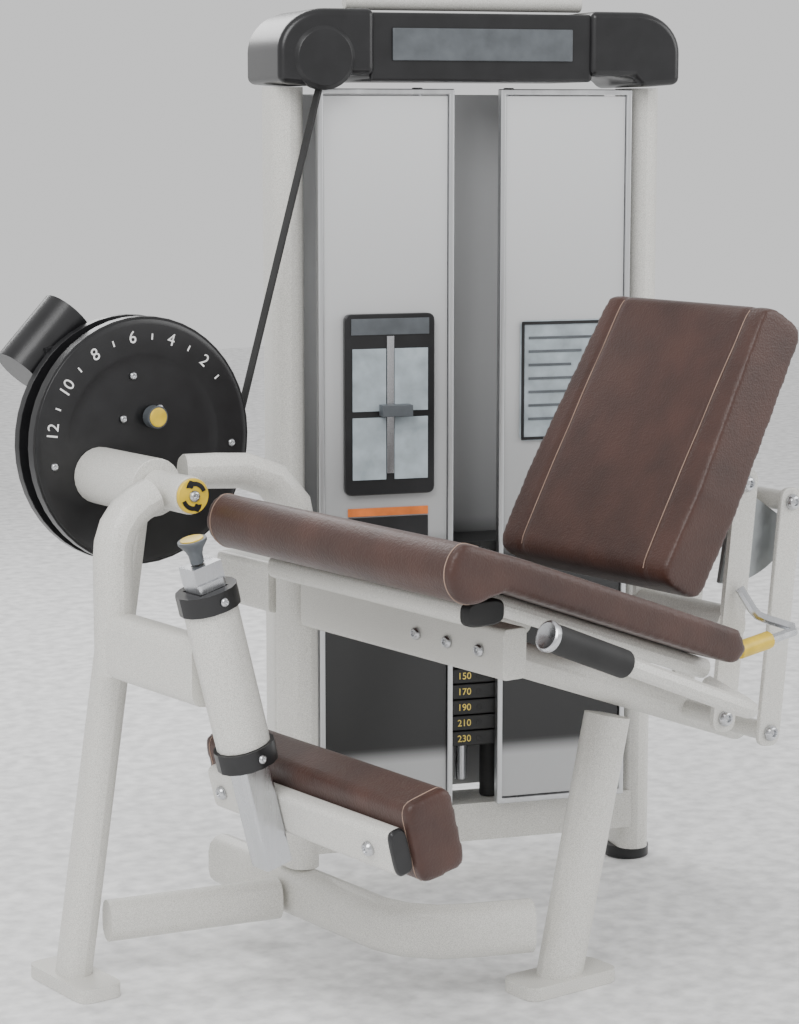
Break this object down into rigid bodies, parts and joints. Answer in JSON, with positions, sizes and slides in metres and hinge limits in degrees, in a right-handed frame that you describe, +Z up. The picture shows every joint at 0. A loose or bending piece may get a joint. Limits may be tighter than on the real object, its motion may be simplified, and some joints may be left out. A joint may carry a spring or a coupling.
{
  "type": "leg extension machine",
  "caption": "Seated leg extension gym machine with weight tower, knee cam, telescoping shin arm, sloped seat and parallel-link back pad.",
  "frame": {"origin": "floor point under the middle of the bounding box", "axes": "+Z up, -X the way the user faces, +Y towards the weight tower"},
  "size_m": [1.2176, 1.1066, 1.4496],
  "materials": {
    "frame_paint": "fine speckled warm white powder coat",
    "black_plastic": "satin moulded black",
    "black_rubber": "matte black rubber",
    "bright_steel": "bright drawn steel",
    "aluminium_rail": "satin anodised",
    "clear_shield": "frosted smoky plastic sheet",
    "label_grey": "grey printed plate, blank",
    "slate_plate": "zinc grey",
    "yellow_plastic": "satin yellow",
    "weight_iron": "black coated iron",
    "brown_leather": "dark brown grained upholstery"
  },
  "bodies": {
    "frame": {"base_cross_tube": "frame_paint", "base_tube": "frame_paint", "belt_run": "black_rubber", "column_tube": "frame_paint", "console": "black_plastic", "front_leg": "frame_paint", "grip_far": "black_rubber", "grip_near": "black_rubber", "guide_rod_left": "bright_steel", "guide_rod_right": "bright_steel", "handle_far": "frame_paint", "handle_near": "frame_paint", "hood_bar": "frame_paint", "pivot_housing": "frame_paint", "placard": "label_grey", "rear_shield": "clear_shield", "resting_plates": "weight_iron", "seat_beam": "frame_paint", "seat_cross_beam": "frame_paint", "seat_frame": "frame_paint", "seat_leg": "frame_paint", "seat_pad": "brown_leather", "shield_left": "clear_shield", "shield_right": "clear_shield", "shield_rim_left": "aluminium_rail", "shield_rim_right": "aluminium_rail", "stack_bumper_left": "black_rubber", "stack_bumper_right": "black_rubber", "tower_foot_left": "black_plastic", "tower_foot_right": "black_plastic", "tower_frame": "frame_paint", "tower_hood": "black_plastic", "tower_link": "frame_paint"},
    "cam": {"cam_wheel": "black_plastic", "cam_shaft": "bright_steel", "counterweight": "black_plastic", "belt_wrap": "black_rubber"},
    "start_pull": {"start_plunger": "yellow_plastic"},
    "arm": {"arm_hub": "frame_paint", "pivot_cap": "yellow_plastic", "c_arm": "frame_paint", "arm_sleeve": "frame_paint", "sleeve_collar_top": "black_plastic", "sleeve_collar_low": "black_plastic"},
    "shin": {"shin_tube": "bright_steel", "shin_bracket": "frame_paint", "shin_pad": "brown_leather"},
    "latch": {"latch_knob": "yellow_plastic"},
    "stack": {"lifted_plates": "weight_iron", "head_plate": "weight_iron", "selector_stem": "bright_steel"},
    "pin": {"selector_pin": "yellow_plastic"},
    "adjuster": {"adjuster_knob": "black_plastic"},
    "front_arm": {"front_link": "frame_paint"},
    "rear_arm": {"rear_link": "frame_paint"},
    "carrier": {"pad_carrier": "frame_paint", "hole_sector": "slate_plate", "back_pad": "brown_leather"},
    "lever": {"back_lever": "bright_steel", "lever_grip": "yellow_plastic"}
  },
  "joints": [
    {"name": "cam_turn", "type": "hinge", "parent": "frame", "child": "cam", "pos_m": [-0.44252, 0.24369, 0.73], "axis": [0, 1, 0], "range_deg": [0, 95]},
    {"name": "stack_lift", "type": "slide", "parent": "frame", "child": "stack", "axis": [0, 0, 1], "range_m": [0, 0.27]},
    {"name": "arm_start", "type": "hinge", "parent": "cam", "child": "arm", "pos_m": [-0.44252, 0.09369, 0.73], "axis": [0, 1, 0], "range_deg": [-8, 25]},
    {"name": "start_plunger_pull", "type": "slide", "parent": "cam", "child": "start_pull", "axis": [0, -1, 0], "range_m": [0, 0.01]},
    {"name": "shin_length", "type": "slide", "parent": "arm", "child": "shin", "axis": [-0.252, 0, 0.9677], "range_m": [0, 0.045]},
    {"name": "latch_pull", "type": "slide", "parent": "shin", "child": "latch", "axis": [-0.252, 0, 0.9677], "range_m": [0, 0.01]},
    {"name": "selector_pin_pull", "type": "slide", "parent": "stack", "child": "pin", "axis": [-0.3256, -0.9455, 0], "range_m": [0, 0.03]},
    {"name": "adjuster_turn", "type": "hinge", "parent": "stack", "child": "adjuster", "pos_m": [0.234, 0.2735, 0.5428], "axis": [-0.3256, -0.9455, 0], "range_deg": [-60, 60]},
    {"name": "back_front_link", "type": "hinge", "parent": "frame", "child": "front_arm", "pos_m": [0.23448, -0.20631, 0.387], "axis": [0, 1, 0], "range_deg": [-8, 10]},
    {"name": "back_rear_link", "type": "hinge", "parent": "frame", "child": "rear_arm", "pos_m": [0.32748, -0.20631, 0.352], "axis": [0, 1, 0], "range_deg": [-8, 10]},
    {"name": "carrier_level", "type": "hinge", "parent": "front_arm", "child": "carrier", "pos_m": [0.27048, -0.20631, 0.729], "axis": [0, 1, 0], "range_deg": [-10, 8]},
    {"name": "back_release", "type": "hinge", "parent": "front_arm", "child": "lever", "pos_m": [0.25048, -0.31431, 0.579], "axis": [0, 1, 0], "range_deg": [0, 12]}
  ],
  "couplings": [
    {"joint": "stack_lift", "follows": "cam_turn", "m_per_rad": 0.16},
    {"joint": "back_rear_link", "follows": "back_front_link", "ratio": 1},
    {"joint": "carrier_level", "follows": "back_front_link", "ratio": -1}
  ]
}
